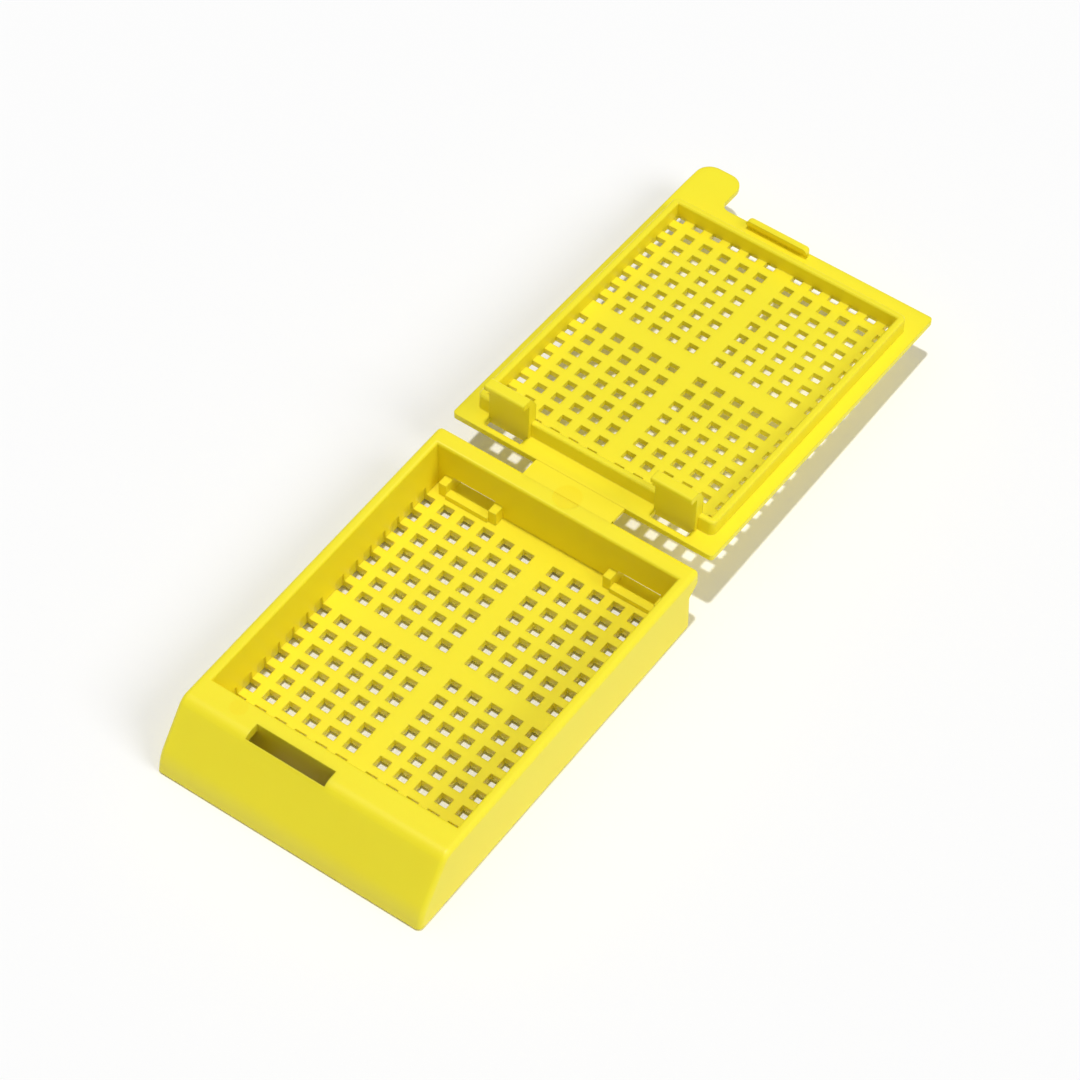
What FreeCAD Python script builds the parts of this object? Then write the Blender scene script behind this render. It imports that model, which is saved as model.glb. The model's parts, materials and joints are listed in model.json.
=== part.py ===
# Histology tissue cassette: a perforated tray with a slanted writing face, and a perforated lid
# on a living hinge. The lid lies open behind the tray, its inner side up.
#
# Row frame, millimetres: +Z up and the tray stands on z = 0. The origin lies under the middle of
# the hinge's fold: the tray runs to -Y, to its writing face, and the open lid runs to +Y.
# The lid is built about the fold: its own origin lies on it, +Y runs to the free end and +Z is
# the inner side. Its Placement then lifts it to the fold, with a slight droop.
import FreeCAD, Part

import math
import os

import Sketcher

PARTS_FOLDER = "parts"
ALIAS_COLUMN, VALUE_COLUMN, NOTE_COLUMN = "A", "B", "C"
CUT_SPARE = 1.0

# Driving dimensions: name, millimetres (degrees where it says so), what it is.
DRIVING = [
    ("base_width", 28.5, "tray across X"),
    ("base_length", 41.4, "tray along Y, toe to hinge flange"),
    ("base_height", 6.7, "tray from the table to its top band"),
    ("side_wall", 1.1, "thickness of the side walls"),
    ("back_land", 1.9, "top band between the cavity and the hinge edge"),
    ("back_step", 0.8, "how far the back wall stands in under its flange"),
    ("flange_edge", 1.2, "straight edge of the hinge flange"),
    ("flange_slope", 0.6, "height of the flange's sloped underside"),
    ("front_land", 3.0, "top band between the cavity and the writing face"),
    ("writing_run", 3.6, "horizontal run of the writing face"),
    ("toe_height", 1.9, "height of the steep toe under the writing face"),
    ("toe_lean", 0.4, "how far the toe leans back over its height"),
    ("toe_blend", 4.0, "radius between the writing face and the toe"),
    ("brow_blend", 1.6, "radius between the writing face and the top band"),
    ("front_wall", 1.2, "horizontal thickness of the wall behind the writing face"),
    ("inner_wall", 1.5, "wall between the cavity and the hollow front"),
    ("front_roof", 1.0, "thickness over the hollow front"),
    ("floor_lift", 0.4, "gap between the table and the floor's underside"),
    ("floor_thickness", 0.8, "perforated floor of the tray"),
    ("foot_width", 0.7, "width of the rim that the tray stands on"),
    ("outer_round", 0.5, "radius along the tray's sides and round the hinge flange"),
    ("wall_corner", 1.1, "radius of the back wall's upright corners"),
    ("foot_chamfer", 0.2, "chamfer of the tray's bottom edges"),
    ("cavity_round", 0.3, "radius of the cavity's top edges"),
    ("base_edge_x", 0.405, "outer column's centre to the cavity's side"),
    ("base_edge_y", 2.435, "outer row's centre to the cavity's front or back"),
    ("base_spine_x", 1.07, "extra width of the bar between the two column groups"),
    ("base_spine_y", 1.11, "extra width of the bar between the two row groups"),
    ("base_hole_x", 1.26, "floor hole across X"),
    ("base_hole_y", 1.16, "floor hole along Y"),
    ("base_half_columns", 6, "columns of holes on each side of the middle bar"),
    ("base_half_rows", 7, "rows of holes in each row group"),
    ("hinge_gap", 0.7, "gap between the tray and the hinge's fold"),
    ("lid_back_inset", 0.45, "how much further from the fold the lid plate starts"),
    ("web_length", 9.7, "hinge web along X"),
    ("web_thickness", 0.35, "thickness of the hinge web"),
    ("fold_gap", 0.04, "hairline between the two halves of the web"),
    ("gate_radius", 1.35, "radius of the trimmed moulding gate"),
    ("gate_offset", 0.8, "gate centre to the fold"),
    ("gate_depth", 0.04, "depth of the trimmed moulding gate"),
    ("lid_plate", 0.6, "thickness of the lid plate"),
    ("lid_corner", 0.4, "radius of the lid plate's corners"),
    ("lid_droop", 2.8, "degrees that the open lid hangs below level"),
    ("seat_gap", 0.05, "gap between the closed lid plate and the tray's top band"),
    ("rim_side_gap", 0.2, "clearance of the lid's rim to the cavity, sides and front"),
    ("rim_back_gap", 0.5, "clearance of the lid's rim to the back wall"),
    ("rim_thickness", 0.7, "thickness of the lid's rim"),
    ("rim_height", 1.7, "height of the lid's rim over the plate"),
    ("rim_corner", 0.6, "radius of the rim's outer corners"),
    ("rim_chamfer", 0.15, "chamfer of the rim's top edges"),
    ("lid_edge_x", 0.495, "outer column's centre to the rim's inner face"),
    ("lid_edge_front", 0.15, "first row's centre to the rim's inner face at the free end"),
    ("lid_edge_back", 0.83, "last row's centre to the rim's inner face at the hinge"),
    ("lid_spine_x", 0.96, "extra width of the bar between the two column groups"),
    ("lid_spine_y", 1.22, "extra width of the bar between the two row groups"),
    ("lid_hole_x", 1.05, "lid hole across X"),
    ("lid_hole_y", 0.96, "lid hole along Y"),
    ("lid_half_columns", 6, "columns of holes on each side of the middle bar"),
    ("lid_front_rows", 8, "rows of holes nearer the free end"),
    ("lid_back_rows", 8, "rows of holes nearer the hinge"),
    ("hook_centre", 9.1, "hook centre from the middle, across X"),
    ("hook_width", 4.4, "hook across X"),
    ("hook_thickness", 1.1, "thickness of the hook's stem"),
    ("hook_floor_gap", 0.55, "closed hook's end to the tray's floor"),
    ("hook_lead", 1.3, "height of the hook's sloped nose"),
    ("hook_nose", 0.25, "flat left at the nose behind the stem's outer face"),
    ("hook_round", 0.2, "radius of the long edges on the hook's top"),
    ("hook_wall_gap", 0.1, "clearance of the closed hook to the back wall"),
    ("hook_side_gap", 0.15, "clearance of the hook to each post"),
    ("lip_reach", 0.9, "how far the hook's lip stands out"),
    ("lip_face", 0.7, "height of the lip's face"),
    ("lip_bevel", 0.15, "bevel under the lip"),
    ("lip_slot_spare", 0.05, "how far the slot runs past the lip"),
    ("slot_inset", 0.2, "how much shorter the slot is at each end than the hook"),
    ("swing_room", 0.5, "room over the lip for its swing out of the window"),
    ("post_width", 0.85, "post across X"),
    ("post_depth", 1.1, "post along Y, from the back wall"),
    ("post_height", 1.55, "post over the floor"),
    ("sill_gap", 0.45, "gap between the back wall and the sill"),
    ("sill_depth", 0.85, "sill along Y"),
    ("sill_height", 0.55, "sill over the floor"),
    ("latch_centre", -2.8, "latch bar centre, across X"),
    ("latch_length", 6.8, "latch bar across X"),
    ("latch_thickness", 0.6, "thickness of the latch bar"),
    ("latch_height", 1.1, "latch bar over the plate's inner face"),
    ("latch_gap", 0.1, "clearance of the closed latch bar to the pocket's back"),
    ("latch_corner", 0.4, "radius of the latch bar's outer corners"),
    ("latch_end_round", 0.45, "radius of the latch bar's top at its ends"),
    ("barb_reach", 0.3, "how far the latch bar's barb stands out"),
    ("barb_face", 0.5, "height of the barb's face"),
    ("pocket_front_room", 0.65, "pocket in front of the closed latch bar"),
    ("pocket_side_room", 0.85, "pocket beside each end of the closed latch bar"),
    ("pocket_depth", 2.0, "depth of the latch pocket's mouth"),
    ("tab_width", 4.6, "finger tab across X"),
    ("tab_length", 4.35, "finger tab past the plate's edge"),
    ("tab_corner", 1.6, "radius of the tab's outer corners"),
    ("tab_root", 0.9, "radius where the tab meets the plate"),
    ("tab_taper", 0.15, "how much thinner the tab gets towards its tip"),
    ("tab_flat", 0.8, "length of the tab's full-thickness root"),
]

# Places and sizes worked out from the driving dimensions. Names that end in _a are distances from
# the fold towards the lid's free end; names that end in _y are in the row frame.
DERIVED = [
    ("base_back_y", "-hinge_gap", "flange's hinge edge"),
    ("base_front_y", "base_back_y - base_length", "foot of the toe"),
    ("clear_back_y", "base_back_y + base_height", "clear of the tray's back, for cuts"),
    ("clear_front_y", "base_front_y - base_height", "clear of the tray's front, for cuts"),
    ("clear_z", "2 * base_height", "clear of the tray's top, for cuts"),
    ("back_wall_y", "base_back_y - back_step", "back wall's outer face"),
    ("cavity_back_y", "base_back_y - back_land", "cavity's back"),
    ("toe_top_y", "base_front_y + toe_lean", "top of the toe"),
    ("slope_top_y", "toe_top_y + writing_run", "upper edge of the writing face"),
    ("cavity_front_y", "slope_top_y + front_land", "cavity's front"),
    ("cavity_length", "cavity_back_y - cavity_front_y", "cavity along Y"),
    ("cavity_width", "base_width - 2 * side_wall", "cavity across X"),
    ("floor_top", "floor_lift + floor_thickness", "upper face of the floor"),
    ("flange_low", "base_height - flange_edge", "lower end of the flange's edge"),
    ("flange_foot", "flange_low - flange_slope", "foot of the flange's slope"),
    ("hollow_back_y", "cavity_front_y - inner_wall", "back of the hollow front"),
    ("hollow_top", "base_height - front_roof", "underside of the front roof"),
    ("hollow_top_y", "slope_top_y + front_wall"
        " - writing_run * front_roof / (base_height - toe_height)", "front end of that underside"),
    ("hollow_toe_y", "toe_top_y + front_wall", "hollow at the toe's top"),
    ("hollow_foot_y", "base_front_y + front_wall", "hollow at the table"),
    ("base_middle_y", "(cavity_front_y + cavity_back_y) / 2", "middle of the floor"),
    ("base_pitch_x", "(cavity_width / 2 - base_edge_x - base_spine_x / 2)"
        " / (base_half_columns - 0.5)", "spacing of the floor's columns of holes"),
    ("base_pitch_y", "(cavity_length / 2 - base_edge_y - base_spine_y / 2)"
        " / (base_half_rows - 0.5)", "spacing of the floor's rows of holes"),
    ("base_first_x", "(base_pitch_x + base_spine_x - base_hole_x) / 2", "first hole's near side"),
    ("base_group_x", "base_pitch_x * (base_half_columns - 1)", "first to last column"),
    ("base_group_y", "base_pitch_y * (base_half_rows - 1)", "first to last row"),
    ("base_first_y", "base_middle_y - (base_pitch_y + base_spine_y + base_hole_y) / 2"
        " - base_group_y", "first hole's side towards the front"),
    ("base_group_step", "base_pitch_y * base_half_rows + base_spine_y", "row group spacing"),
    ("web_base_reach", "hinge_gap - fold_gap + back_step", "tray's half of the web"),
    ("rim_back_a", "hinge_gap + back_land + rim_back_gap", "rim's outer face at the hinge"),
    ("rim_front_a", "-cavity_front_y - rim_side_gap", "rim's outer face at the free end"),
    ("rim_inner_front_a", "rim_front_a - rim_thickness", "rim's inner face at the free end"),
    ("rim_half_x", "cavity_width / 2 - rim_side_gap", "rim's outer side face"),
    ("rim_inner_half_x", "rim_half_x - rim_thickness", "rim's inner side face"),
    ("rim_inner_back_a", "rim_back_a + rim_thickness", "rim's inner face at the hinge"),
    ("lid_width", "base_width", "lid plate across X"),
    ("lid_back_a", "hinge_gap + lid_back_inset", "lid plate's edge at the hinge"),
    ("hook_face_a", "hinge_gap + back_land + hook_wall_gap", "hook's outer face"),
    ("hook_back_a", "hook_face_a + hook_thickness", "hook's inner face"),
    ("lip_tip_a", "hook_face_a - lip_reach", "lip's face"),
    ("lip_bevel_a", "lip_tip_a + lip_bevel", "inner end of the lip's bevel"),
    ("nose_a", "hook_face_a + hook_nose", "inner end of the hook's flat nose"),
    ("plate_top", "-seat_gap", "plate's inner face, seen from the fold"),
    ("plate_middle", "-seat_gap - lid_plate / 2", "middle of the plate's thickness"),
    ("hook_height", "base_height + seat_gap - floor_top - hook_floor_gap",
        "hook over the plate's inner face"),
    ("lip_low", "hook_height - lip_face", "lip's underside over the plate"),
    ("lip_low_z", "plate_top + lip_low", "lip's underside"),
    ("lip_bevel_z", "lip_low_z + lip_bevel", "outer end of the lip's bevel"),
    ("hook_top", "plate_top + hook_height", "top of the hook"),
    ("hook_lead_z", "hook_top - hook_lead", "foot of the hook's sloped nose"),
    ("hook_left_x", "hook_centre - hook_width / 2", "hook's near side"),
    ("catch_half", "hook_width / 2 + hook_side_gap", "window's half width"),
    ("catch_left_x", "hook_centre - catch_half", "window's near side"),
    ("catch_right_x", "hook_centre + catch_half", "window's far side"),
    ("window_top", "base_height + seat_gap - lip_low + swing_room", "window's upper edge"),
    ("barb_tip_a", "latch_gap - hollow_back_y", "barb's face"),
    ("latch_back_a", "barb_tip_a + barb_reach", "latch bar's back face"),
    ("lid_front_a", "latch_back_a + latch_thickness", "lid plate's front edge"),
    ("latch_top", "plate_top + latch_height", "top of the latch bar"),
    ("barb_low", "latch_top - barb_face", "barb's underside"),
    ("latch_left_x", "latch_centre - latch_length / 2", "latch bar's end at -X"),
    ("pocket_front_y", "-lid_front_a - pocket_front_room", "pocket's front"),
    ("lid_pitch_x", "(rim_inner_half_x - lid_edge_x - lid_spine_x / 2)"
        " / (lid_half_columns - 0.5)", "spacing of the lid's columns of holes"),
    ("lid_pitch_y", "(rim_inner_front_a - lid_edge_front - lid_spine_y - lid_edge_back"
        " - rim_inner_back_a) / (lid_front_rows + lid_back_rows - 1)",
        "spacing of the lid's rows of holes"),
    ("lid_first_x", "(lid_pitch_x + lid_spine_x - lid_hole_x) / 2", "first hole's near side"),
    ("lid_back_rows_a", "rim_inner_back_a + lid_edge_back - lid_hole_y / 2",
        "near side of the back group's first row"),
    ("lid_front_rows_a", "lid_back_rows_a + lid_pitch_y * lid_back_rows + lid_spine_y",
        "near side of the front group's first row"),
    ("lid_group_x", "lid_pitch_x * (lid_half_columns - 1)", "first to last column"),
    ("lid_front_group", "lid_pitch_y * (lid_front_rows - 1)", "front group's rows"),
    ("lid_back_group", "lid_pitch_y * (lid_back_rows - 1)", "back group's rows"),
    ("tab_tip_a", "lid_front_a + tab_length", "finger tab's tip"),
    ("tab_bend_a", "lid_front_a + tab_flat", "where the tab starts to thin"),
    ("tab_right_x", "tab_width - lid_width / 2", "finger tab's inner side"),
    ("tab_clear_a", "tab_tip_a + tab_length", "clear of the tab, for its taper"),
    ("tab_clear_z", "plate_top - 2 * tab_taper", "depth of the taper there"),
]


def cell(name):
    """A dimension's full name, as expressions use it."""
    return "Dimensions." + name


def make_sheet(doc):
    """The document's dimension sheet: plain numbers first, worked-out places below."""
    sheet = doc.addObject("Spreadsheet::Sheet", "Dimensions")
    for row, (name, content, note) in enumerate(DRIVING + DERIVED, start=1):
        sheet.set(f"{ALIAS_COLUMN}{row}", name)
        sheet.setAlias(f"{VALUE_COLUMN}{row}", name)
        sheet.set(f"{NOTE_COLUMN}{row}", note)
    for row, (name, content, note) in enumerate(DRIVING + DERIVED, start=1):
        text = f"={content}" if isinstance(content, str) else str(content)
        sheet.set(f"{VALUE_COLUMN}{row}", text)
    doc.recompute()
    return sheet


def make_body(doc, label):
    """An empty body with its label."""
    body = doc.addObject("PartDesign::Body", label)
    body.Label = label
    return body


def origin_feature(body, role):
    """The body's own origin plane or axis of that role."""
    return next(item for item in body.Origin.OriginFeatures if item.Role == role)


def bind(feature, **sizes):
    """Bind a feature's properties to expressions; double underscores stand for dots."""
    for name, expression in sizes.items():
        feature.setExpression(name.replace("__", "."), expression)


def make_box(body, kind, name, corner, size):
    """An additive or subtractive box from its low corner and its size, all expressions."""
    box = body.newObject(f"PartDesign::{kind}Box", name)
    for axis, expression in zip("xyz", corner):
        box.setExpression(f"Placement.Base.{axis}", expression)
    for side, expression in zip(("Length", "Width", "Height"), size):
        box.setExpression(side, expression)
    body.Document.recompute()
    return box


def make_disc_cut(body, name, surface):
    """The mark of the trimmed moulding gate, a shallow disc that reaches across the fold."""
    disc = body.newObject("PartDesign::SubtractiveCylinder", name)
    bind(disc, Radius=cell("gate_radius"), Height=f"{cell('gate_depth')} + {CUT_SPARE}")
    disc.setExpression("Placement.Base.y", f"-{cell('gate_offset')}")
    disc.setExpression("Placement.Base.z", f"{surface} - {cell('gate_depth')}")
    body.Document.recompute()
    return disc


def make_outline(body, sheet, name, role, points, offset=None):
    """A closed sketch through points, each a pair of dimension names or 0."""
    sketch = body.newObject("Sketcher::SketchObject", name)
    sketch.AttachmentSupport = [(origin_feature(body, role), "")]
    sketch.MapMode = "FlatFace"
    if offset:
        sketch.setExpression("AttachmentOffset.Base.z", offset)
    add_loop(sketch, sheet, points)
    body.Document.recompute()
    return sketch


def add_loop(sketch, sheet, points):
    """One closed loop of lines, each corner held by its two distances from the origin."""
    corners = [FreeCAD.Vector(number(sheet, x), number(sheet, y), 0) for x, y in points]
    first = sketch.GeometryCount
    for start, end in zip(corners, corners[1:] + corners[:1]):
        sketch.addGeometry(Part.LineSegment(start, end), False)
    for index, (x, y) in enumerate(points):
        line = first + index
        following = first + (index + 1) % len(points)
        sketch.addConstraint(Sketcher.Constraint("Coincident", line, 2, following, 1))
        for kind, place in (("DistanceX", x), ("DistanceY", y)):
            hold_corner(sketch, sheet, kind, line, place)


def hold_corner(sketch, sheet, kind, line, place):
    """Hold a line's start at a distance from the sketch's origin along one axis."""
    if place == 0:
        axis = -2 if kind == "DistanceX" else -1
        sketch.addConstraint(Sketcher.Constraint("PointOnObject", line, 1, axis))
        return
    index = sketch.addConstraint(
        Sketcher.Constraint(kind, -1, 1, line, 1, number(sheet, place)))
    sketch.setExpression(f"Constraints[{index}]", cell(place))


def number(sheet, place):
    """The value of a dimension name, or 0."""
    return float(sheet.get(place)) if place else 0.0


def pad(body, name, sketch, length, symmetric=False, reverse=False):
    """A pad of the sketch."""
    feature = body.newObject("PartDesign::Pad", name)
    feature.Profile = sketch
    feature.SideType = "Symmetric" if symmetric else "One side"
    feature.Reversed = reverse
    feature.setExpression("Length", length)
    body.Document.recompute()
    return feature


def pocket(body, name, sketch, length, symmetric=False, reverse=False):
    """A pocket of the sketch. It must take volume away."""
    before = body.Shape.Volume
    feature = body.newObject("PartDesign::Pocket", name)
    feature.Profile = sketch
    feature.SideType = "Symmetric" if symmetric else "One side"
    feature.Reversed = reverse
    feature.setExpression("Length", length)
    body.Document.recompute()
    if not body.Shape.Volume < before:
        raise RuntimeError(f"{name} cuts nothing")
    return feature


def pattern(body, name, feature, directions):
    """Repeat a feature in lines, then mirror the whole across the middle plane.

    directions are (axis role, first to last, count), the last two as expressions.
    """
    repeat = body.newObject("PartDesign::MultiTransform", name)
    repeat.Originals = [feature]
    steps = []
    for index, (role, spread, count) in enumerate(directions, start=1):
        line = body.Document.addObject("PartDesign::LinearPattern", f"{name}Line{index}")
        line.Direction = (origin_feature(body, role), [""])
        line.setExpression("Length", spread)
        line.setExpression("Occurrences", count)
        steps.append(line)
    mirror = body.Document.addObject("PartDesign::Mirrored", f"{name}Mirror")
    mirror.MirrorPlane = (origin_feature(body, "YZ_Plane"), [""])
    repeat.Transformations = steps + [mirror]
    body.Tip = repeat
    body.Document.recompute()
    return repeat


def mirror_features(body, name, features):
    """Copy features to the other side of the middle plane."""
    mirror = body.newObject("PartDesign::Mirrored", name)
    mirror.Originals = features
    mirror.MirrorPlane = (origin_feature(body, "YZ_Plane"), [""])
    body.Tip = mirror
    body.Document.recompute()
    return mirror


def edge_names(shape, wanted):
    """Names of the edges that pass a test of their two ends and middle."""
    names = []
    for index, edge in enumerate(shape.Edges, start=1):
        low, high = edge.ParameterRange
        points = [edge.valueAt(low), edge.valueAt((low + high) / 2), edge.valueAt(high)]
        if wanted(points):
            names.append(f"Edge{index}")
    return names


def round_edges(body, name, radius, wanted):
    """Fillet the edges of the body's tip that pass a test."""
    base = body.Tip
    feature = body.newObject("PartDesign::Fillet", name)
    feature.Base = (base, edge_names(base.Shape, wanted))
    feature.setExpression("Radius", radius)
    body.Document.recompute()
    return feature


def chamfer_edges(body, name, size, wanted):
    """Chamfer the edges of the body's tip that pass a test."""
    base = body.Tip
    feature = body.newObject("PartDesign::Chamfer", name)
    feature.Base = (base, edge_names(base.Shape, wanted))
    feature.setExpression("Size", size)
    body.Document.recompute()
    return feature


def near(value, target, slack=1e-4):
    """Whether two lengths agree."""
    return abs(value - target) < slack


def all_at(points, axis, target):
    """Whether all the points share one coordinate."""
    return all(near(getattr(point, axis), target) for point in points)


def within(points, axis, low, high):
    """Whether all the points lie in a range of one coordinate."""
    return all(low < getattr(point, axis) < high for point in points)


def make_base(doc, sheet):
    """The tray."""
    body = make_body(doc, "cassette_base")
    size = {name: float(sheet.get(name)) for name, _, _ in DRIVING + DERIVED}
    add_base_block(body, sheet, size)
    add_base_cavity(body, sheet, size)
    add_catches(body)
    add_base_web(body)
    add_base_holes(body)
    return body


def add_base_block(body, sheet, size):
    """The outer form: a block cut to the writing face and toe in front, and under the hinge flange
    at the back, then rounded along both side outlines and round the flange, chamfered at the
    foot."""
    make_box(body, "Additive", "Block",
             (f"-{cell('base_width')} / 2", cell("base_front_y"), "0"),
             (cell("base_width"), cell("base_length"), cell("base_height")))
    front = make_outline(body, sheet, "FrontCutSection", "YZ_Plane", [
        ("base_front_y", 0),
        ("toe_top_y", "toe_height"),
        ("slope_top_y", "base_height"),
        ("slope_top_y", "clear_z"),
        ("clear_front_y", "clear_z"),
        ("clear_front_y", 0),
    ])
    pocket(body, "FrontCut", front, f"2 * {cell('base_width')}", symmetric=True)
    back = make_outline(body, sheet, "BackCutSection", "YZ_Plane", [
        ("back_wall_y", 0),
        ("clear_back_y", 0),
        ("clear_back_y", "flange_low"),
        ("base_back_y", "flange_low"),
        ("back_wall_y", "flange_foot"),
    ])
    pocket(body, "BackCut", back, f"2 * {cell('base_width')}", symmetric=True)
    half, top, back_y = size["base_width"] / 2, size["base_height"], size["base_back_y"]
    for name, radius, y, z in (("ToeBlend", "toe_blend", size["toe_top_y"], size["toe_height"]),
                               ("BrowBlend", "brow_blend", size["slope_top_y"], top)):
        round_edges(body, name, cell(radius),
                    lambda points: all_at(points, "y", y) and all_at(points, "z", z))

    def on_side(points):
        return all(near(abs(point.x), half) for point in points)

    def outline_edge(points):
        in_front = all(point.y < size["base_middle_y"] for point in points)
        on_outline = in_front or all_at(points, "z", top) or all_at(points, "y", back_y)
        side_outline = on_side(points) and on_outline and not all_at(points, "z", 0)
        return side_outline or (all_at(points, "y", back_y) and all_at(points, "z", top))

    round_edges(body, "WallCorners", cell("wall_corner"), lambda points:
                on_side(points) and all_at(points, "y", size["back_wall_y"]))
    round_edges(body, "OuterEdges", cell("outer_round"), outline_edge)
    chamfer_edges(body, "FootEdges", cell("foot_chamfer"), lambda points: all_at(points, "z", 0))


def add_base_cavity(body, sheet, size):
    """The tray's hollow, the recess under its floor, and the hollow front with its pocket."""
    make_box(body, "Subtractive", "Cavity",
             (f"-{cell('cavity_width')} / 2", cell("cavity_front_y"), cell("floor_top")),
             (cell("cavity_width"), cell("cavity_length"), cell("base_height")))
    height = size["base_height"]
    round_edges(body, "CavityMouth", cell("cavity_round"), lambda points:
                all_at(points, "z", height)
                and within(points, "x", -size["cavity_width"] / 2 - 0.01,
                           size["cavity_width"] / 2 + 0.01)
                and within(points, "y", size["cavity_front_y"] - 0.01,
                           size["cavity_back_y"] + 0.01))
    make_box(body, "Subtractive", "FootRecess",
             (f"-{cell('base_width')} / 2 + {cell('foot_width')}",
              cell("cavity_front_y"), f"-{CUT_SPARE}"),
             (f"{cell('base_width')} - 2 * {cell('foot_width')}",
              f"{cell('back_wall_y')} - {cell('foot_width')} - {cell('cavity_front_y')}",
              f"{cell('floor_lift')} + {CUT_SPARE}"))
    wedge = make_outline(body, sheet, "WedgeSection", "YZ_Plane", [
        ("hollow_back_y", 0),
        ("hollow_back_y", "hollow_top"),
        ("hollow_top_y", "hollow_top"),
        ("hollow_toe_y", "toe_height"),
        ("hollow_foot_y", 0),
    ])
    pocket(body, "HollowFront", wedge, cell("cavity_width"), symmetric=True)
    make_box(body, "Subtractive", "LatchPocket",
             (f"{cell('latch_left_x')} - {cell('pocket_side_room')}",
              cell("pocket_front_y"), f"{cell('base_height')} - {cell('pocket_depth')}"),
             (f"{cell('latch_length')} + 2 * {cell('pocket_side_room')}",
              f"{cell('hollow_back_y')} - {cell('pocket_front_y')}",
              f"{cell('pocket_depth')} + {CUT_SPARE}"))


def add_catches(body):
    """A window in the back wall for each hook, with two posts and a sill in front of it."""
    window = make_box(body, "Subtractive", "Window",
                      (cell("catch_left_x"), f"{cell('cavity_back_y')} - {CUT_SPARE}",
                       cell("floor_top")),
                      (f"2 * {cell('catch_half')}",
                       f"{cell('back_land')} + {CUT_SPARE}",
                       f"{cell('window_top')} - {cell('floor_top')}"))
    posts = [make_box(body, "Additive", name,
                      (left, f"{cell('cavity_back_y')} - {cell('post_depth')}",
                       f"{cell('floor_top')} - {cell('floor_thickness')} / 2"),
                      (cell("post_width"), f"{cell('post_depth')} + {cell('side_wall')} / 2",
                       f"{cell('post_height')} + {cell('floor_thickness')} / 2"))
             for name, left in (("InnerPost", f"{cell('catch_left_x')} - {cell('post_width')}"),
                                ("OuterPost", cell("catch_right_x")))]
    sill = make_box(body, "Additive", "Sill",
                    (cell("catch_left_x"),
                     f"{cell('cavity_back_y')} - {cell('sill_gap')} - {cell('sill_depth')}",
                     f"{cell('floor_top')} - {cell('floor_thickness')} / 2"),
                    (f"2 * {cell('catch_half')}", cell("sill_depth"),
                     f"{cell('sill_height')} + {cell('floor_thickness')} / 2"))
    mirror_features(body, "OtherCatch", [window] + posts + [sill])


def add_base_web(body):
    """The tray's half of the hinge web, level with its top band, and the gate mark on it."""
    make_box(body, "Additive", "WebHalf",
             (f"-{cell('web_length')} / 2", cell("back_wall_y"),
              f"{cell('base_height')} - {cell('web_thickness')}"),
             (cell("web_length"), cell("web_base_reach"), cell("web_thickness")))
    make_disc_cut(body, "GateMark", cell("base_height"))


def add_base_holes(body):
    """Two groups of rows and two of columns, with wider bars between the groups."""
    hole = make_box(body, "Subtractive", "FloorHole",
                    (cell("base_first_x"), cell("base_first_y"),
                     f"{cell('floor_lift')} - {CUT_SPARE}"),
                    (cell("base_hole_x"), cell("base_hole_y"),
                     f"{cell('floor_thickness')} + 2 * {CUT_SPARE}"))
    pattern(body, "FloorHoles", hole, [
        ("X_Axis", cell("base_group_x"), cell("base_half_columns")),
        ("Y_Axis", cell("base_group_y"), cell("base_half_rows")),
        ("Y_Axis", cell("base_group_step"), "2"),
    ])


def make_lid(doc, sheet):
    """The lid, about the fold."""
    body = make_body(doc, "hinged_lid")
    size = {name: float(sheet.get(name)) for name, _, _ in DRIVING + DERIVED}
    add_lid_plate(body, sheet, size)
    add_lid_rim(body, size)
    add_hooks(body, sheet, size)
    add_latch(body, sheet, size)
    add_lid_web(body)
    add_lid_holes(body)
    hinge = FreeCAD.Rotation(FreeCAD.Vector(1, 0, 0), -size["lid_droop"])
    body.Placement = FreeCAD.Placement(FreeCAD.Vector(), hinge)
    body.setExpression("Placement.Base.z", cell("base_height"))
    body.setExpression("Placement.Rotation.Angle", f"-{cell('lid_droop')}")
    doc.recompute()
    return body


def add_lid_plate(body, sheet, size):
    """The plate with the finger tab at its free edge, thinned towards the tip."""
    thickness = (f"{cell('plate_top')} - {cell('lid_plate')}", cell("lid_plate"))
    make_box(body, "Additive", "Plate",
             (f"-{cell('lid_width')} / 2", cell("lid_back_a"), thickness[0]),
             (cell("lid_width"), f"{cell('lid_front_a')} - {cell('lid_back_a')}", thickness[1]))
    make_box(body, "Additive", "FingerTab",
             (f"-{cell('lid_width')} / 2", f"{cell('lid_front_a')} - {cell('tab_length')}",
              thickness[0]),
             (cell("tab_width"), f"2 * {cell('tab_length')}", thickness[1]))
    side, front = size["lid_width"] / 2, size["lid_front_a"]
    tip, tab_side = size["tab_tip_a"], size["tab_right_x"]

    def upright_at(points, places):
        upright = not near(points[0].z, points[-1].z)
        return upright and any(near(points[0].x, x) and near(points[0].y, y) for x, y in places)

    round_edges(body, "PlateCorners", cell("lid_corner"), lambda points: upright_at(
        points, [(-side, size["lid_back_a"]), (side, size["lid_back_a"]), (side, front)]))
    round_edges(body, "TabCorners", cell("tab_corner"), lambda points: upright_at(
        points, [(-side, tip), (tab_side, tip)]))
    round_edges(body, "TabRoot", cell("tab_root"), lambda points: upright_at(
        points, [(tab_side, front)]))
    taper = make_outline(body, sheet, "TaperSection", "YZ_Plane", [
        ("tab_bend_a", "plate_top"),
        ("tab_clear_a", "tab_clear_z"),
        ("tab_clear_a", "clear_z"),
        ("tab_bend_a", "clear_z"),
    ])
    pocket(body, "TabTaper", taper, f"2 * {cell('lid_width')}", symmetric=True)


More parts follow.
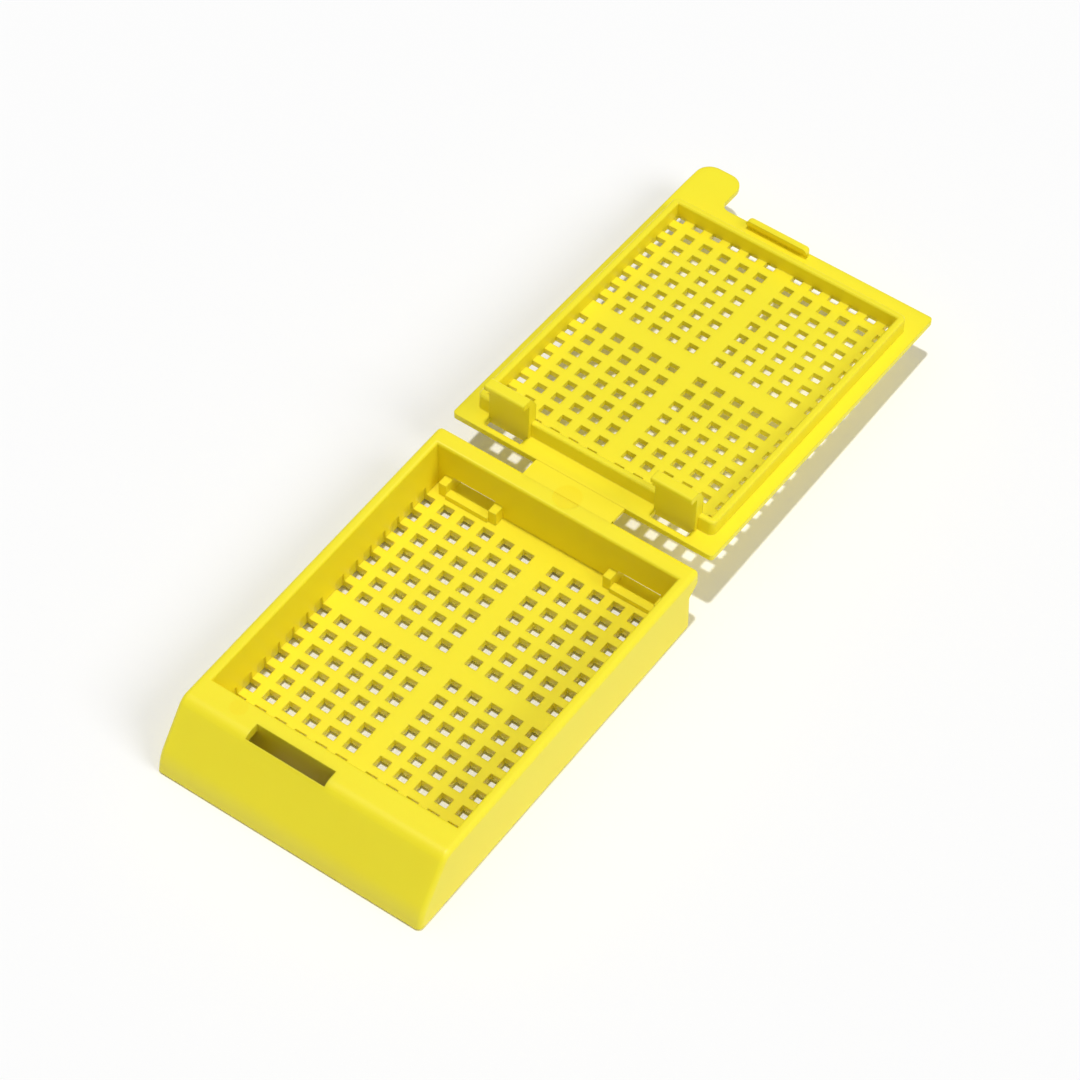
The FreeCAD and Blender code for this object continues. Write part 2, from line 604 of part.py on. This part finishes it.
def add_lid_rim(body, size):
    """The raised rim that drops into the tray's cavity."""
    make_box(body, "Additive", "RimBlock",
             (f"-{cell('rim_half_x')}", cell("rim_back_a"), cell("plate_middle")),
             (f"2 * {cell('rim_half_x')}", f"{cell('rim_front_a')} - {cell('rim_back_a')}",
              f"{cell('plate_top')} - {cell('plate_middle')} + {cell('rim_height')}"))
    rim_side, plate_top = size["rim_half_x"], size["plate_top"]

    def rim_corner(points):
        upright = not near(points[0].z, points[-1].z)
        on_side = all_at(points, "x", rim_side) or all_at(points, "x", -rim_side)
        return upright and on_side and points[0].z > plate_top - 0.01

    round_edges(body, "RimCorners", cell("rim_corner"), rim_corner)
    make_box(body, "Subtractive", "RimInside",
             (f"-{cell('rim_inner_half_x')}", cell("rim_inner_back_a"), cell("plate_top")),
             (f"2 * {cell('rim_inner_half_x')}",
              f"{cell('rim_inner_front_a')} - {cell('rim_inner_back_a')}",
              f"{cell('rim_height')} + {CUT_SPARE}"))
    rim_top = plate_top + size["rim_height"]
    chamfer_edges(body, "RimTop", cell("rim_chamfer"), lambda points: all_at(points, "z", rim_top))


def add_hooks(body, sheet, size):
    """Two hooks that snap out through the tray's windows, each with a slot in front of it."""
    section = make_outline(body, sheet, "HookSection", "YZ_Plane", [
        ("hook_face_a", "plate_middle"),
        ("hook_face_a", "lip_low_z"),
        ("lip_bevel_a", "lip_low_z"),
        ("lip_tip_a", "lip_bevel_z"),
        ("lip_tip_a", "hook_top"),
        ("nose_a", "hook_top"),
        ("hook_back_a", "hook_lead_z"),
        ("hook_back_a", "plate_middle"),
    ], offset=cell("hook_left_x"))
    hook = pad(body, "Hook", section, cell("hook_width"))
    slot = make_box(body, "Subtractive", "HookSlot",
                    (f"{cell('hook_left_x')} + {cell('slot_inset')}",
                     f"{cell('lip_tip_a')} - {cell('lip_slot_spare')}",
                     f"{cell('plate_top')} - {cell('lid_plate')} - {CUT_SPARE}"),
                    (f"{cell('hook_width')} - 2 * {cell('slot_inset')}",
                     f"{cell('lip_reach')} + {cell('lip_slot_spare')}",
                     f"{cell('lid_plate')} + {CUT_SPARE}"))
    mirror_features(body, "OtherHook", [hook, slot])
    round_edges(body, "HookRounds", cell("hook_round"), lambda points:
                all_at(points, "z", size["hook_top"]) and near(points[0].y, points[-1].y))


def add_latch(body, sheet, size):
    """The bar with a barb that snaps into the tray's pocket."""
    section = make_outline(body, sheet, "LatchSection", "YZ_Plane", [
        ("latch_back_a", "plate_middle"),
        ("latch_back_a", "barb_low"),
        ("barb_tip_a", "barb_low"),
        ("barb_tip_a", "latch_top"),
        ("lid_front_a", "latch_top"),
        ("lid_front_a", "plate_middle"),
    ], offset=cell("latch_left_x"))
    pad(body, "LatchBar", section, cell("latch_length"))
    ends = [size["latch_left_x"], size["latch_left_x"] + size["latch_length"]]
    round_edges(body, "LatchCorners", cell("latch_corner"), lambda points:
                all_at(points, "y", size["lid_front_a"])
                and any(all_at(points, "x", end) for end in ends))
    top = size["latch_top"]
    round_edges(body, "LatchEnds", cell("latch_end_round"), lambda points:
                all_at(points, "z", top)
                and any(all_at(points, "x", end) for end in ends))


def add_lid_web(body):
    """The lid's half of the hinge web, and its share of the gate mark."""
    make_box(body, "Additive", "WebHalf",
             (f"-{cell('web_length')} / 2", "0", f"-{cell('web_thickness')}"),
             (cell("web_length"), cell("lid_back_a"), cell("web_thickness")))
    make_disc_cut(body, "GateMark", "0")


def add_lid_holes(body):
    """Two groups of columns and two of rows, with wider bars between the groups."""
    for name, first, spread, count in (
            ("Front", "lid_front_rows_a", "lid_front_group", "lid_front_rows"),
            ("Back", "lid_back_rows_a", "lid_back_group", "lid_back_rows")):
        hole = make_box(body, "Subtractive", f"{name}Hole",
                        (cell("lid_first_x"), cell(first),
                         f"{cell('plate_top')} - {cell('lid_plate')} - {CUT_SPARE}"),
                        (cell("lid_hole_x"), cell("lid_hole_y"),
                         f"{cell('lid_plate')} + {CUT_SPARE}"))
        pattern(body, f"{name}Holes", hole, [
            ("X_Axis", cell("lid_group_x"), cell("lid_half_columns")),
            ("Y_Axis", cell(spread), cell(count)),
        ])


def export_body(body):
    """Write one body's solid to its own file, after checking it."""
    faults = [item.Name for item in body.Group if {"Invalid", "Error"} & set(item.State)]
    if faults or body.Shape.isNull() or not body.Shape.isValid() or len(body.Shape.Solids) != 1:
        raise RuntimeError(f"{body.Label} is not one sound solid: {faults}")
    body.Shape.exportStep(os.path.join(PARTS_FOLDER, f"{body.Label}.step"))


def main():
    doc = FreeCAD.newDocument("TissueCassette")
    sheet = make_sheet(doc)
    bodies = [make_base(doc, sheet), make_lid(doc, sheet)]
    doc.recompute()
    os.makedirs(PARTS_FOLDER, exist_ok=True)
    for body in bodies:
        export_body(body)


main()
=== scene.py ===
"""A yellow histology cassette lying open: moulded, slightly translucent plastic on a white table."""

import json
import math

import bmesh
import bpy
from mathutils import Matrix, Vector

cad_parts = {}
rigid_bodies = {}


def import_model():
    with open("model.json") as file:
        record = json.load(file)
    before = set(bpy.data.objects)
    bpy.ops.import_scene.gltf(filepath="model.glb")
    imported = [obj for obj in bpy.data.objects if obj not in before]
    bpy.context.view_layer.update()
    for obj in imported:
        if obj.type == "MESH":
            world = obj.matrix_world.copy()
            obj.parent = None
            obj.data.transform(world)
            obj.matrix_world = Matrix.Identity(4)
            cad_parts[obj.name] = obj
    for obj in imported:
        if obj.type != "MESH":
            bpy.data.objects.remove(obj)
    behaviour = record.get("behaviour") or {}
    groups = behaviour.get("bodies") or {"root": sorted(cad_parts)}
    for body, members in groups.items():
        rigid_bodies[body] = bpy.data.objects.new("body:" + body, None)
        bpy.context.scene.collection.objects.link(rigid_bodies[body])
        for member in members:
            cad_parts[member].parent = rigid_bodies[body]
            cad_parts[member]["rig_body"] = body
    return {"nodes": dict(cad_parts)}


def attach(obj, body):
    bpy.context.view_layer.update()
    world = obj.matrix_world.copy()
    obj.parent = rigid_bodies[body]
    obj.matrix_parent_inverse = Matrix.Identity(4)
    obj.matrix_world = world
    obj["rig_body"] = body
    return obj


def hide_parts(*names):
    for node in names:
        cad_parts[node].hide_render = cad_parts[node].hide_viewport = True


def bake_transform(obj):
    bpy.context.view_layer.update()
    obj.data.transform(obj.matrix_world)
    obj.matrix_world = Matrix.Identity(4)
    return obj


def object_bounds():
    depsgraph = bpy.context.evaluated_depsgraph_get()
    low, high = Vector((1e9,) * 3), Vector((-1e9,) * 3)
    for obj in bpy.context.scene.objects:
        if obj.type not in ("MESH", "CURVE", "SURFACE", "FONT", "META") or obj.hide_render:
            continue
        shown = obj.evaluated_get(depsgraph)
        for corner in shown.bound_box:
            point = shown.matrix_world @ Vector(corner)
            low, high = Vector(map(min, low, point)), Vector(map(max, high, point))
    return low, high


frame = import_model()
cad_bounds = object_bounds()

MM = 0.001

# How far the plastic's shading runs round an edge, and the angle that counts as an edge.
EDGE_ROUND = 0.16 * MM
EDGE_SAMPLES = 6
SHARP_ANGLE = math.radians(30)

# The hinge: its fold, the two edges it joins, and the open lid's droop and step under the fold.
FOLD = Vector((0, 0, 6.7)) * MM
TRAY_EDGE = -0.7 * MM
LID_EDGE = 1.15 * MM
LID_DROOP = math.radians(2.8)
LID_STEP = 0.05 * MM

# The web that bends there. It laps over both edges, a hair proud; a stub of the CAD web stays.
WEB_HALF_WIDTH = 4.85 * MM
WEB_THICKNESS = 0.35 * MM
WEB_STEPS = 24
WEB_LAP = 0.3 * MM
WEB_PROUD = 0.01 * MM
WEB_STUB = 0.01 * MM

# How near two points are merged, how near to the cut a point is on it, and how far from flat
# two faces may meet and still become one.
MERGE_DISTANCE = 0.002 * MM
CUT_DISTANCE = MERGE_DISTANCE / 10
FLAT_ANGLE = math.radians(0.5)

# The trimmed gate on the hinge web, and the ejector pin's mark on the tray's front band.
GATE_CENTRE = Vector((0, -0.8, 6.7)) * MM
GATE_RADIUS = 1.35 * MM
PIN_CENTRE = Vector((-9.4, -36.1, 6.7)) * MM
PIN_RADIUS = 0.85 * MM
MARK_SOFTNESS = 0.12 * MM

# Yellow acetal: its two shades and its marks in linear RGB, how deep in millimetres each of
# red, green and blue soaks in, the share of the light that does, and its gloss.
PLASTIC_COLOUR = (0.98, 0.84, 0.025, 1)
PLASTIC_DEEP = (0.97, 0.81, 0.02, 1)
MARK_COLOUR = (0.97, 0.79, 0.014, 1)
SCATTER_DEPTH = (1.2, 1.4, 0.35)
SCATTER_SHARE = 0.3
PLASTIC_ROUGHNESS = 0.42
PLASTIC_IOR = 1.48

# Flow marks and mould grain: bumps per metre, octaves of detail, and the grain's bump.
FLOW_SCALE = 180
FLOW_DETAIL = 3
GRAIN_SCALE = 9000
GRAIN_DETAIL = 2
GRAIN_STRENGTH = 0.12
GRAIN_DEPTH = 0.01 * MM

TABLE_COLOUR = (0.97, 0.97, 0.97, 1)
TABLE_ROUGHNESS = 0.9
TABLE_SHINE = 0.1
TABLE_SIZE = 4

# The lamps: name, azimuth, elevation, strength and spread. Then the light from all round.
LAMPS = (("overhead lamp", 90, 88.5, 0.55, 3), ("side lamp", 5, 40, 0.31, 30))
WORLD_STRENGTH = 0.26

# The camera, as it stood before the photographed cassette. Its azimuth counts from -Y towards
# +X; the lens and the sensor are in millimetres.
CAMERA_AZIMUTH = math.radians(35.82)
CAMERA_ELEVATION = math.radians(51.76)
CAMERA_DISTANCE = 378.5 * MM
CAMERA_AIM = Vector((0.85, -6.21, 6.7)) * MM
CAMERA_LENS = 142.74
CAMERA_SENSOR = 36
CAMERA_CLIP_START = 0.01


def node(tree, kind, **inputs):
    """A shader node with some of its inputs set."""
    made = tree.nodes.new(kind)
    for name, value in inputs.items():
        made.inputs[name.replace("_", " ")].default_value = value
    return made


def noise(tree, place, scale, detail):
    """A noise texture over the object's own coordinates; scale is in bumps per metre."""
    made = node(tree, "ShaderNodeTexNoise", Scale=scale, Detail=detail)
    tree.links.new(place, made.inputs["Vector"])
    return made


def spot(tree, place, centre, radius, softness):
    """1 inside a ball round the centre, 0 outside it, with a soft edge."""
    away = node(tree, "ShaderNodeVectorMath")
    away.operation = "DISTANCE"
    away.inputs[1].default_value = centre
    tree.links.new(place, away.inputs[0])
    mask = node(tree, "ShaderNodeMapRange")
    mask.interpolation_type = "SMOOTHSTEP"
    mask.inputs["From Min"].default_value = radius + softness
    mask.inputs["From Max"].default_value = radius - softness
    tree.links.new(away.outputs["Value"], mask.inputs["Value"])
    return mask.outputs["Result"]


def mix_colour(tree, amount, first, second):
    """A colour mix; each colour is a socket or a plain value."""
    mix = tree.nodes.new("ShaderNodeMix")
    mix.data_type = "RGBA"
    for socket, value in ((mix.inputs["Factor"], amount), (mix.inputs["A"], first),
                          (mix.inputs["B"], second)):
        if isinstance(value, bpy.types.NodeSocket):
            tree.links.new(value, socket)
        else:
            socket.default_value = value
    return mix.outputs["Result"]


def make_plastic(name, scatter, round_edges):
    """Satin acetal: light soaks in a little, with faint flow marks and a fine mould grain."""
    material = bpy.data.materials.new(name)
    material.use_nodes = True
    tree = material.node_tree
    shader = tree.nodes["Principled BSDF"]
    place = tree.nodes.new("ShaderNodeTexCoord").outputs["Object"]
    flow = noise(tree, place, FLOW_SCALE, FLOW_DETAIL)
    colour = mix_colour(tree, flow.outputs["Fac"], PLASTIC_COLOUR, PLASTIC_DEEP)
    for centre, radius in ((GATE_CENTRE, GATE_RADIUS), (PIN_CENTRE, PIN_RADIUS)):
        inside = spot(tree, place, centre, radius, MARK_SOFTNESS)
        colour = mix_colour(tree, inside, colour, MARK_COLOUR)
    tree.links.new(colour, shader.inputs["Base Color"])
    grain = noise(tree, place, GRAIN_SCALE, GRAIN_DETAIL)
    bump = node(tree, "ShaderNodeBump", Strength=GRAIN_STRENGTH, Distance=GRAIN_DEPTH)
    tree.links.new(grain.outputs["Fac"], bump.inputs["Height"])
    if round_edges:
        edges = node(tree, "ShaderNodeBevel", Radius=EDGE_ROUND)
        edges.samples = EDGE_SAMPLES
        tree.links.new(edges.outputs["Normal"], bump.inputs["Normal"])
    tree.links.new(bump.outputs["Normal"], shader.inputs["Normal"])
    shader.inputs["Roughness"].default_value = PLASTIC_ROUGHNESS
    shader.inputs["IOR"].default_value = PLASTIC_IOR
    shader.inputs["Subsurface Weight"].default_value = scatter
    shader.inputs["Subsurface Radius"].default_value = SCATTER_DEPTH
    shader.inputs["Subsurface Scale"].default_value = MM
    return material


def make_table_material():
    """A plain white table top."""
    material = bpy.data.materials.new("white_table")
    material.use_nodes = True
    shader = material.node_tree.nodes["Principled BSDF"]
    shader.inputs["Base Color"].default_value = TABLE_COLOUR
    shader.inputs["Roughness"].default_value = TABLE_ROUGHNESS
    shader.inputs["Specular IOR Level"].default_value = TABLE_SHINE
    return material


def lid_point(x, along, height):
    """A point of the open lid, from its distance to the fold and its height over it."""
    turn = Matrix.Rotation(-LID_DROOP, 3, "X")
    return FOLD + turn @ Vector((x, along, height))


def cut_web_off(form, place, normal):
    """Take away the half web beyond a plane, and close the cut."""
    everything = form.verts[:] + form.edges[:] + form.faces[:]
    cut = bmesh.ops.bisect_plane(form, geom=everything, plane_co=place, plane_no=normal,
                                 clear_outer=True, dist=CUT_DISTANCE)
    rim = [item for item in cut["geom_cut"] if isinstance(item, bmesh.types.BMEdge)]
    bmesh.ops.holes_fill(form, edges=[edge for edge in rim if edge.is_boundary], sides=0)


def moulded_copy(name, material, web_cut):
    """A CAD node's own form without its half web, riding on the node's body in its place."""
    source = frame["nodes"][name]
    mesh = source.data.copy()
    mesh.name = f"{name}_moulded"
    form = bmesh.new()
    form.from_mesh(mesh)
    bmesh.ops.remove_doubles(form, verts=form.verts, dist=MERGE_DISTANCE)
    cut_web_off(form, *web_cut)
    bmesh.ops.dissolve_limit(form, angle_limit=FLAT_ANGLE, verts=form.verts, edges=form.edges)
    for face in form.faces:
        face.smooth = True
    for edge in form.edges:
        edge.smooth = len(edge.link_faces) == 2 and edge.calc_face_angle() < SHARP_ANGLE
    form.to_mesh(mesh)
    form.free()
    mesh.materials.clear()
    mesh.materials.append(material)
    piece = bpy.data.objects.new(f"{name}_moulded", mesh)
    bpy.context.scene.collection.objects.link(piece)
    shading = piece.modifiers.new("flat faces stay flat", "WEIGHTED_NORMAL")
    shading.keep_sharp = True
    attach(piece, source["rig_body"])
    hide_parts(name)
    return piece


def add_hinge_web(material):
    """The thin web that bends between tray and lid, in one piece."""
    form = bmesh.new()
    rings = []
    steps = [step / WEB_STEPS for step in range(WEB_STEPS + 1)]
    for along, share in ([(TRAY_EDGE - WEB_LAP, 0)]
                         + [(TRAY_EDGE + (LID_EDGE - TRAY_EDGE) * share, share) for share in steps]
                         + [(LID_EDGE + WEB_LAP, 1)]):
        ring = []
        for x, depth in ((-WEB_HALF_WIDTH, WEB_PROUD), (WEB_HALF_WIDTH, WEB_PROUD),
                         (WEB_HALF_WIDTH, -WEB_THICKNESS), (-WEB_HALF_WIDTH, -WEB_THICKNESS)):
            level = FOLD + Vector((x, along, depth))
            hung = lid_point(x, along, depth - LID_STEP)
            ring.append(form.verts.new(level.lerp(hung, share * share * (3 - 2 * share))))
        rings.append(ring)
    for near, far in zip(rings, rings[1:]):
        for side in range(4):
            after = (side + 1) % 4
            form.faces.new((near[side], near[after], far[after], far[side]))
    form.faces.new(list(reversed(rings[0])))
    form.faces.new(rings[-1])
    bmesh.ops.recalc_face_normals(form, faces=form.faces)
    mesh = bpy.data.meshes.new("hinge_web")
    form.to_mesh(mesh)
    form.free()
    mesh.materials.append(material)
    web = bpy.data.objects.new("hinge_web", mesh)
    bpy.context.scene.collection.objects.link(web)
    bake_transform(web)


def add_table():
    """The white table the cassette lies on."""
    bpy.ops.mesh.primitive_plane_add(size=TABLE_SIZE, location=(0, 0, cad_bounds[0][2]))
    table = bpy.context.object
    table.name = "table"
    table.data.materials.append(make_table_material())


def add_sun(name, azimuth, elevation, strength, spread):
    """A far lamp; azimuth counts from +X towards +Y, all angles in degrees.

    A strength of 1 lights a white face that is turned to the lamp just to white.
    """
    lamp = bpy.data.lights.new(name, "SUN")
    lamp.energy = strength * math.pi
    lamp.angle = math.radians(spread)
    holder = bpy.data.objects.new(name, lamp)
    a, e = math.radians(azimuth), math.radians(elevation)
    towards = Vector((math.cos(a) * math.cos(e), math.sin(a) * math.cos(e), math.sin(e)))
    holder.rotation_euler = towards.to_track_quat("Z", "Y").to_euler()
    bpy.context.scene.collection.objects.link(holder)


def add_world(strength):
    """Even light from all round, and plain white where the camera looks past the table."""
    world = bpy.data.worlds.new("studio")
    world.use_nodes = True
    tree = world.node_tree
    light = tree.nodes["Background"]
    light.inputs["Strength"].default_value = strength
    white = node(tree, "ShaderNodeBackground", Strength=1.0)
    white.inputs["Color"].default_value = (1, 1, 1, 1)
    light.inputs["Color"].default_value = (1, 1, 1, 1)
    rays = tree.nodes.new("ShaderNodeLightPath")
    mix = tree.nodes.new("ShaderNodeMixShader")
    tree.links.new(rays.outputs["Is Camera Ray"], mix.inputs["Fac"])
    tree.links.new(light.outputs["Background"], mix.inputs[1])
    tree.links.new(white.outputs["Background"], mix.inputs[2])
    tree.links.new(mix.outputs["Shader"], tree.nodes["World Output"].inputs["Surface"])
    bpy.context.scene.world = world


def add_camera():
    """The photograph's view."""
    camera = bpy.data.cameras.new("camera")
    camera.lens = CAMERA_LENS
    camera.sensor_width = CAMERA_SENSOR
    camera.clip_start = CAMERA_CLIP_START
    holder = bpy.data.objects.new("camera", camera)
    away = Vector((math.sin(CAMERA_AZIMUTH) * math.cos(CAMERA_ELEVATION),
                   -math.cos(CAMERA_AZIMUTH) * math.cos(CAMERA_ELEVATION),
                   math.sin(CAMERA_ELEVATION)))
    holder.location = CAMERA_AIM + away * CAMERA_DISTANCE
    holder.rotation_euler = away.to_track_quat("Z", "Y").to_euler()
    bpy.context.scene.collection.objects.link(holder)
    bpy.context.scene.camera = holder


plastic = make_plastic("yellow_acetal", scatter=SCATTER_SHARE, round_edges=True)
web_plastic = make_plastic("yellow_acetal_web", scatter=0.0, round_edges=False)
moulded_copy("cassette_base", plastic,
             (Vector((0, TRAY_EDGE + WEB_STUB, 0)), Vector((0, 1, 0))))
moulded_copy("hinged_lid", plastic,
             (lid_point(0, LID_EDGE - WEB_STUB, 0), lid_point(0, -1, 0) - FOLD))
add_hinge_web(web_plastic)
add_table()
for lamp in LAMPS:
    add_sun(*lamp)
add_world(WORLD_STRENGTH)
add_camera()
bpy.context.scene.view_settings.view_transform = "Standard"
